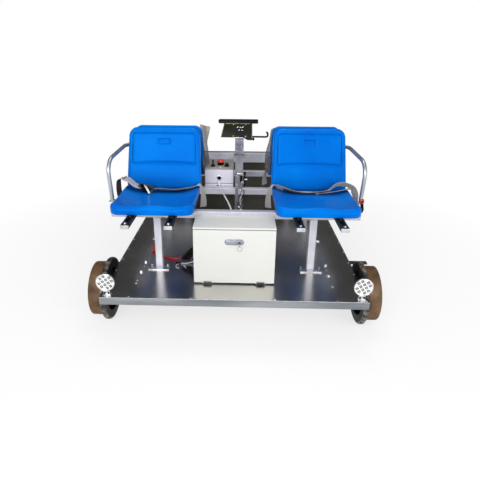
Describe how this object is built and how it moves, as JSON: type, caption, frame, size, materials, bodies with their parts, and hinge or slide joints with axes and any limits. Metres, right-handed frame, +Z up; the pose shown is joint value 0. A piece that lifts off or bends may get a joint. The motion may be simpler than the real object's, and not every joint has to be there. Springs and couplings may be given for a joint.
{
  "type": "electric rail trolley",
  "caption": "Open electric rail trolley with a flat steel deck, back-to-back moulded seats on slide rails, a battery box, a control box and a mast on flanged wheels.",
  "frame": {"origin": "at the foot of the wheel flanges, under the middle of the deck", "axes": "+Z up, +Y to the rear along the track, +X across the track to the right as seen from the front"},
  "size_m": [1.5656, 2, 1.0428],
  "materials": {
    "deck_steel": "dark semi-gloss sheet",
    "frame_steel": "satin grey",
    "zinc_steel": "galvanised",
    "arm_steel": "polished tube",
    "dark_steel": "dark grey",
    "bearing_iron": "painted casting",
    "axle_steel": "turned",
    "wheel_black": "black with worn edges",
    "tread_brown": "brown rusted tread",
    "drive_cast": "as cast",
    "motor_black": "satin black",
    "rail_steel": "bright with black slides",
    "lamp_chrome": "faceted reflector",
    "ivory_paint": "semi-gloss ivory",
    "control_paint": "light grey",
    "lock_chrome": "polished",
    "battery_case": "moulded case",
    "black_plastic": "moulded",
    "red_plastic": "moulded",
    "plate_black": "black with yellow passivated edges",
    "seat_blue": "satin azure moulding",
    "belt_web": "woven grey webbing",
    "white_rubber": "white sheath",
    "red_rubber": "red sheath",
    "grey_rubber": "light grey sheath"
  },
  "bodies": {
    "chassis": {"axle_bearings": "bearing_iron", "battery_block": "battery_case", "box_shell": "ivory_paint", "brake_lever": "black_plastic", "cable_gland": "black_plastic", "control_box": "control_paint", "control_cable": "white_rubber", "control_support": "zinc_steel", "control_switches": "black_plastic", "corner_lamps": "lamp_chrome", "deck_cross_tubes": "frame_steel", "deck_long_tubes": "frame_steel", "deck_sheet": "deck_steel", "drive_case": "drive_cast", "drive_motor": "motor_black", "grey_connector": "black_plastic", "grey_lead": "grey_rubber", "guard_panel": "deck_steel", "lamp_brackets": "zinc_steel", "lever_gate": "dark_steel", "mast_post": "zinc_steel", "red_lead": "red_rubber", "red_plug": "red_plastic", "seat_beams": "zinc_steel", "seat_posts": "zinc_steel", "side_bar": "dark_steel", "slide_rails": "rail_steel", "stop_button": "red_plastic"},
    "front_wheelset": {"front_axle": "axle_steel", "front_wheels": "wheel_black", "front_treads": "tread_brown"},
    "rear_wheelset": {"rear_axle": "axle_steel", "rear_wheels": "wheel_black", "rear_treads": "tread_brown"},
    "box_door": {"box_door": "ivory_paint", "box_lock": "lock_chrome"},
    "seat_front_left": {"seat_front_left_frame": "arm_steel", "seat_front_left_cushion": "seat_blue", "seat_front_left_backrest": "seat_blue", "seat_front_left_belt": "belt_web"},
    "seat_front_right": {"seat_front_right_frame": "arm_steel", "seat_front_right_cushion": "seat_blue", "seat_front_right_backrest": "seat_blue", "seat_front_right_belt": "belt_web"},
    "seat_rear_left": {"seat_rear_left_frame": "arm_steel", "seat_rear_left_cushion": "seat_blue", "seat_rear_left_backrest": "seat_blue", "seat_rear_left_belt": "belt_web"},
    "seat_rear_right": {"seat_rear_right_frame": "arm_steel", "seat_rear_right_cushion": "seat_blue", "seat_rear_right_backrest": "seat_blue", "seat_rear_right_belt": "belt_web"},
    "mast_head": {"mast_tube": "zinc_steel", "mount_plate": "plate_black", "hook_rod": "plate_black"}
  },
  "joints": [
    {"name": "front_wheelset_roll", "type": "hinge", "parent": "chassis", "child": "front_wheelset", "pos_m": [0, -0.73, 0.174], "axis": [1, 0, 0], "continuous": true},
    {"name": "rear_wheelset_roll", "type": "hinge", "parent": "chassis", "child": "rear_wheelset", "pos_m": [0, 0.73, 0.174], "axis": [1, 0, 0], "continuous": true},
    {"name": "box_door_hinge", "type": "hinge", "parent": "chassis", "child": "box_door", "pos_m": [0, -0.851, 0.287], "axis": [1, 0, 0], "range_deg": [0, 90]},
    {"name": "seat_front_left_slide", "type": "slide", "parent": "chassis", "child": "seat_front_left", "axis": [0, -1, 0], "range_m": [0, 0.08]},
    {"name": "seat_front_right_slide", "type": "slide", "parent": "chassis", "child": "seat_front_right", "axis": [0, -1, 0], "range_m": [0, 0.08]},
    {"name": "seat_rear_left_slide", "type": "slide", "parent": "chassis", "child": "seat_rear_left", "axis": [0, 1, 0], "range_m": [0, 0.08]},
    {"name": "seat_rear_right_slide", "type": "slide", "parent": "chassis", "child": "seat_rear_right", "axis": [0, 1, 0], "range_m": [0, 0.08]},
    {"name": "mast_height", "type": "slide", "parent": "chassis", "child": "mast_head", "axis": [0, 0, 1], "range_m": [0, 0.1]}
  ]
}
